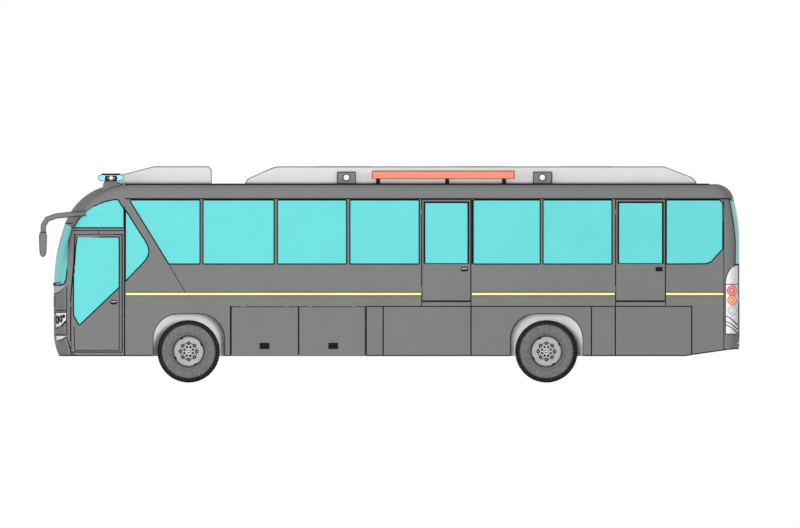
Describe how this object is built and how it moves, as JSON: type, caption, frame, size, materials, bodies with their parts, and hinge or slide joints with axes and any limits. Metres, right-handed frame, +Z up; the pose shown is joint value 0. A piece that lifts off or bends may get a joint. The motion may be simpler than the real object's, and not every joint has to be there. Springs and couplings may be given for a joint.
{
  "type": "airport passenger bus",
  "caption": "Single-deck airport passenger coach, grey with tinted windows, roof pods, beacons, orange side bars, twin rear wheels, doors on the left and underfloor luggage flaps",
  "frame": {"origin": "centre of the bounding box's base, on the ground between the axles", "axes": "+X to the rear, +Y to the bus's right side, +Z up; the front faces -X and the passenger doors are on -Y"},
  "size_m": [11.679, 2.89, 3.6069],
  "materials": {
    "body": "satin mid grey paint",
    "glass": "cyan tinted glass",
    "floor": "ribbed vinyl",
    "bay": "painted sheet",
    "frame": "black chassis paint",
    "liner": "pale moulded plastic",
    "engine": "painted casting",
    "lamp_clear": "clear lens",
    "lamp_amber": "amber lens",
    "lamp_red": "red lens",
    "mirror_shell": "grey moulded shell",
    "pod": "light grey paint",
    "lamp_blue": "light blue lens",
    "trim": "black plastic",
    "bar": "salmon orange lens bar",
    "lamp_box": "mid grey housing",
    "seat": "blue seat fabric",
    "dash": "dark moulded plastic",
    "tyre": "black rubber",
    "rim": "light grey disc"
  },
  "bodies": {
    "bus": {"roof": "body", "left_side": "body", "right_side": "body", "left_windows": "glass", "right_windows": "glass", "skirt_panels": "body", "front_cap": "body", "windscreen": "glass", "cab_windows": "glass", "rear_cap": "body", "rear_window": "glass", "floor": "floor", "luggage_bay": "bay", "chassis_rails": "frame", "cross_members": "frame", "tow_sockets": "frame", "hinges": "trim", "wheel_housings": "liner", "front_axle": "frame", "rear_axle": "frame", "engine": "engine", "headlamps": "lamp_clear", "tail_lamps_clear": "lamp_clear", "tail_lamps_amber": "lamp_amber", "tail_lamps_red": "lamp_red", "mirrors": "mirror_shell", "front_roof_pod": "pod", "rear_roof_pod": "pod", "beacon_lenses": "lamp_blue", "beacon_caps": "trim", "amber_bars": "bar", "bar_posts": "trim", "work_lamps": "lamp_box", "passenger_seats": "seat", "driver_seat": "seat", "dashboard": "dash", "steering_wheel": "trim"},
    "steer_left": {"knuckle_left": "frame"},
    "steer_right": {"knuckle_right": "frame"},
    "wheel_front_left": {"tyre_front_left": "tyre", "rim_front_left": "rim"},
    "wheel_front_right": {"tyre_front_right": "tyre", "rim_front_right": "rim"},
    "wheel_rear_left": {"tyre_rear_left": "tyre", "rim_rear_left": "rim"},
    "wheel_rear_right": {"tyre_rear_right": "tyre", "rim_rear_right": "rim"},
    "door_front": {"front_door": "body", "front_door_glass": "glass"},
    "door_mid": {"mid_door": "body", "mid_door_glass": "glass"},
    "door_rear": {"rear_door": "body", "rear_door_glass": "glass"},
    "flap_left_front": {"luggage_flap_left_front": "body"},
    "flap_left_rear": {"luggage_flap_left_rear": "body"},
    "flap_right_front": {"luggage_flap_right_front": "body"},
    "flap_right_rear": {"luggage_flap_right_rear": "body"},
    "lid_engine": {"engine_lid": "body"}
  },
  "joints": [
    {"name": "steering_left", "type": "hinge", "parent": "bus", "child": "steer_left", "pos_m": [-3.343, -1.04, 0.522], "axis": [0, 0, 1], "range_deg": [-40, 40]},
    {"name": "steering_right", "type": "hinge", "parent": "bus", "child": "steer_right", "pos_m": [-3.343, 1.04, 0.522], "axis": [0, 0, 1], "range_deg": [-40, 40]},
    {"name": "spin_front_left", "type": "hinge", "parent": "steer_left", "child": "wheel_front_left", "pos_m": [-3.343, -1.0775, 0.522], "axis": [0, 1, 0], "continuous": true},
    {"name": "spin_front_right", "type": "hinge", "parent": "steer_right", "child": "wheel_front_right", "pos_m": [-3.343, 1.0775, 0.522], "axis": [0, 1, 0], "continuous": true},
    {"name": "spin_rear_left", "type": "hinge", "parent": "bus", "child": "wheel_rear_left", "pos_m": [2.62, -1.0775, 0.522], "axis": [0, 1, 0], "continuous": true},
    {"name": "spin_rear_right", "type": "hinge", "parent": "bus", "child": "wheel_rear_right", "pos_m": [2.62, 1.0775, 0.522], "axis": [0, 1, 0], "continuous": true},
    {"name": "hinge_door_front", "type": "hinge", "parent": "bus", "child": "door_front", "pos_m": [-5.312, -1.25, 1.5], "axis": [0, 0, -1], "range_deg": [0, 90]},
    {"name": "hinge_door_mid", "type": "hinge", "parent": "bus", "child": "door_mid", "pos_m": [0.54, -1.25, 2.2], "axis": [0, 0, -1], "range_deg": [0, 90]},
    {"name": "hinge_door_rear", "type": "hinge", "parent": "bus", "child": "door_rear", "pos_m": [3.77, -1.25, 2.2], "axis": [0, 0, -1], "range_deg": [0, 90]},
    {"name": "hinge_flap_left_front", "type": "hinge", "parent": "bus", "child": "flap_left_front", "pos_m": [-2.0735, -1.25, 1.272], "axis": [-1, 0, 0], "range_deg": [0, 85]},
    {"name": "hinge_flap_left_rear", "type": "hinge", "parent": "bus", "child": "flap_left_rear", "pos_m": [-0.951, -1.25, 1.272], "axis": [-1, 0, 0], "range_deg": [0, 85]},
    {"name": "hinge_flap_right_front", "type": "hinge", "parent": "bus", "child": "flap_right_front", "pos_m": [-2.0735, 1.25, 1.272], "axis": [1, 0, 0], "range_deg": [0, 85]},
    {"name": "hinge_flap_right_rear", "type": "hinge", "parent": "bus", "child": "flap_right_rear", "pos_m": [-0.951, 1.25, 1.272], "axis": [1, 0, 0], "range_deg": [0, 85]},
    {"name": "hinge_engine_lid", "type": "hinge", "parent": "bus", "child": "lid_engine", "pos_m": [5.837, 0, 1.4], "axis": [0, -1, 0], "range_deg": [0, 80]}
  ],
  "couplings": [
    {"joint": "steering_right", "follows": "steering_left", "ratio": 1}
  ]
}
